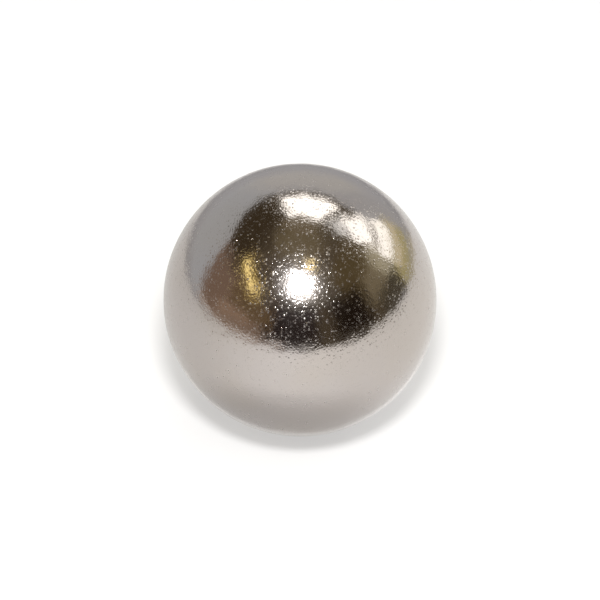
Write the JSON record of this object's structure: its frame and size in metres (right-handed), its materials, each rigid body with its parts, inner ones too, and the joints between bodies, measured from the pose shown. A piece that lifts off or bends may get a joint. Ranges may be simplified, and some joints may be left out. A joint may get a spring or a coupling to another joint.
{
  "type": "sphere magnet",
  "caption": "Small loose ball magnet with a bright, finely pebbled nickel surface, magnetised through its poles, for holding, closing and building.",
  "frame": {"origin": "centre of the ball", "axes": "+Z along the magnetisation, from the lower pole to the upper one; X and Y are free, because the ball is round"},
  "size_m": [0.005, 0.005, 0.005],
  "materials": {
    "nickel_plating": "bright nickel plating with a fine pebbled texture"
  },
  "bodies": {
    "root": {"magnet_ball": "nickel_plating"}
  },
  "joints": []
}
